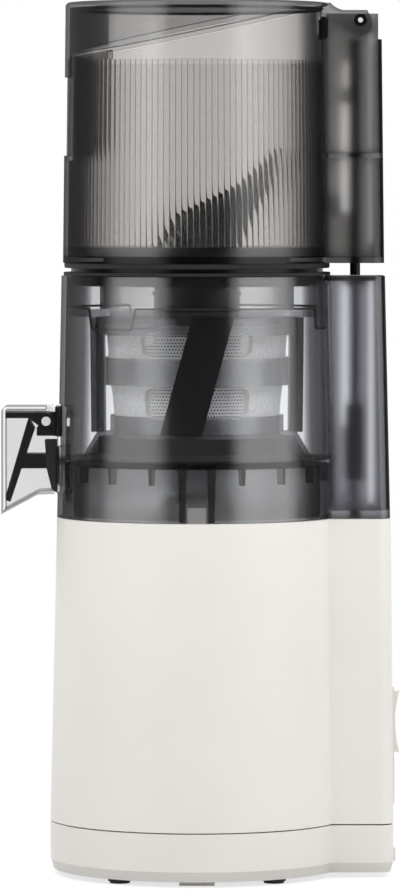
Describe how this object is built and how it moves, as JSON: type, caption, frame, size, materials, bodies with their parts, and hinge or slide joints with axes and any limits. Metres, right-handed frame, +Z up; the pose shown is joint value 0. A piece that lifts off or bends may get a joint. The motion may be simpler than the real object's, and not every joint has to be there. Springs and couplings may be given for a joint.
{
  "type": "cold press juicer",
  "caption": "Upright slow juicer: motor base, clear bowl with strainer, turning wiper and auger, tilting juice spout, and a tall clear hopper whose hinged slanted lid works a safety rod.",
  "frame": {"origin": "on the auger axis at floor level, under the middle of the foot rests, which is the bottom centre of the bounding box to within a few millimetres", "axes": "+Z up along the auger axis, -X towards the juice spout, +X towards the square tail with the rocker switch"},
  "size_m": [0.1831, 0.1352, 0.4],
  "materials": {
    "cream_housing": "fine satin, warm off-white",
    "black_rubber": "soft matt black",
    "black_plastic": "satin black moulding",
    "smoke_bowl": "clear, smoked cool grey",
    "smoke_hopper": "clear, smoked warm grey",
    "pale_frame": "satin, light grey",
    "gear_resin": "natural gear resin",
    "bright_steel": "bright stainless",
    "dull_steel": "plain motor steel",
    "bush_brass": "plain bearing bronze",
    "board_green": "coated circuit board"
  },
  "bodies": {
    "base": {"base_housing": "cream_housing", "base_bottom_cover": "cream_housing", "rubber_feet": "black_rubber", "cover_screws": "bright_steel", "motor_can": "dull_steel", "motor_end_plate": "dull_steel", "motor_bearings": "bright_steel", "motor_stator": "dull_steel", "gearbox_housing": "gear_resin", "gearbox_cover": "gear_resin", "gearbox_screws": "bright_steel", "counter_pin": "bright_steel", "output_bush": "bush_brass", "shaft_seal": "black_rubber", "control_board": "board_green", "interlock_switch": "black_plastic", "switch_bezel": "black_plastic", "cord_inlet": "black_plastic"},
    "rotor": {"motor_rotor": "dull_steel", "motor_pinion": "bright_steel"},
    "countershaft": {"counter_gear": "gear_resin"},
    "drive": {"output_gear": "gear_resin", "drive_shaft": "bright_steel"},
    "rocker": {"rocker_switch": "black_plastic"},
    "plunger": {"interlock_plunger": "black_plastic"},
    "chamber": {"chamber_bowl": "smoke_bowl", "tube_seal": "black_rubber", "pulp_packing": "black_rubber", "rod_guide_cap": "smoke_bowl", "strainer_frame": "pale_frame", "strainer_mesh": "bright_steel", "spout_bracket": "black_plastic", "spout_screw": "bright_steel"},
    "lower_push_rod": {"lower_rod": "bright_steel", "rod_sleeve": "black_plastic", "rod_spring": "bright_steel"},
    "idler": {"idler_gear": "gear_resin"},
    "wiper": {"wiper_frame": "smoke_bowl", "wiper_ring_gear": "gear_resin", "wiper_blades": "black_rubber"},
    "auger_unit": {"auger": "black_plastic", "auger_foot_gear": "gear_resin", "auger_drive_bush": "bush_brass"},
    "spout_valve": {"spout_hood": "smoke_bowl", "spout_lever": "black_plastic", "spout_plug": "black_rubber"},
    "hopper": {"hopper_body": "smoke_hopper", "neck_ring": "black_plastic", "neck_gasket": "black_rubber", "position_magnet": "dull_steel", "lid_hinge_screws": "bright_steel"},
    "upper_push_rod": {"upper_rod": "bright_steel"},
    "lid": {"hopper_lid": "smoke_hopper", "lid_arm": "black_plastic"}
  },
  "joints": [
    {"name": "drive_spin", "type": "hinge", "parent": "base", "child": "drive", "pos_m": [0, 0, 0.15], "axis": [0, 0, 1], "continuous": true},
    {"name": "motor_spin", "type": "hinge", "parent": "base", "child": "rotor", "pos_m": [0, 0, 0.1], "axis": [0, 0, 1], "continuous": true},
    {"name": "countershaft_spin", "type": "hinge", "parent": "base", "child": "countershaft", "pos_m": [0.03, 0, 0.14], "axis": [0, 0, 1], "continuous": true},
    {"name": "rocker_tilt", "type": "hinge", "parent": "base", "child": "rocker", "pos_m": [0.08367, 0, 0.07], "axis": [0, 1, 0], "range_deg": [-6, 6]},
    {"name": "plunger_slide", "type": "slide", "parent": "base", "child": "plunger", "axis": [0, 0, 1], "range_m": [0, 0.0031]},
    {"name": "chamber_lift", "type": "slide", "parent": "base", "child": "chamber", "axis": [0, 0, 1], "range_m": [0, 0.06]},
    {"name": "lower_rod_slide", "type": "slide", "parent": "chamber", "child": "lower_push_rod", "axis": [0, 0, 1], "range_m": [0, 0.0031], "deforming": ["rod_spring"]},
    {"name": "idler_spin", "type": "hinge", "parent": "chamber", "child": "idler", "pos_m": [0.02263, 0.02263, 0.197], "axis": [0, 0, 1], "continuous": true},
    {"name": "wiper_spin", "type": "hinge", "parent": "chamber", "child": "wiper", "pos_m": [0, 0, 0.2], "axis": [0, 0, 1], "continuous": true},
    {"name": "auger_spin", "type": "hinge", "parent": "chamber", "child": "auger_unit", "pos_m": [0, 0, 0.23], "axis": [0, 0, 1], "continuous": true},
    {"name": "spout_tilt", "type": "hinge", "parent": "chamber", "child": "spout_valve", "pos_m": [-0.0691, 0, 0.2085], "axis": [0, 1, 0], "range_deg": [0, 35]},
    {"name": "hopper_lift", "type": "slide", "parent": "chamber", "child": "hopper", "axis": [0, 0, 1], "range_m": [0, 0.07]},
    {"name": "upper_rod_slide", "type": "slide", "parent": "hopper", "child": "upper_push_rod", "axis": [0, 0, 1], "range_m": [0, 0.0031]},
    {"name": "lid_hinge", "type": "hinge", "parent": "hopper", "child": "lid", "pos_m": [0.0745, 0, 0.3917], "axis": [0, 1, 0], "range_deg": [0, 100]}
  ],
  "couplings": [
    {"joint": "motor_spin", "follows": "drive_spin", "ratio": 9},
    {"joint": "countershaft_spin", "follows": "drive_spin", "ratio": -3},
    {"joint": "auger_spin", "follows": "drive_spin", "ratio": 1},
    {"joint": "idler_spin", "follows": "drive_spin", "ratio": -2.2},
    {"joint": "wiper_spin", "follows": "drive_spin", "ratio": -0.52381},
    {"joint": "upper_rod_slide", "follows": "lid_hinge", "m_per_rad": 0.0017189},
    {"joint": "lower_rod_slide", "follows": "lid_hinge", "m_per_rad": 0.0017189},
    {"joint": "plunger_slide", "follows": "lid_hinge", "m_per_rad": 0.0017189}
  ]
}
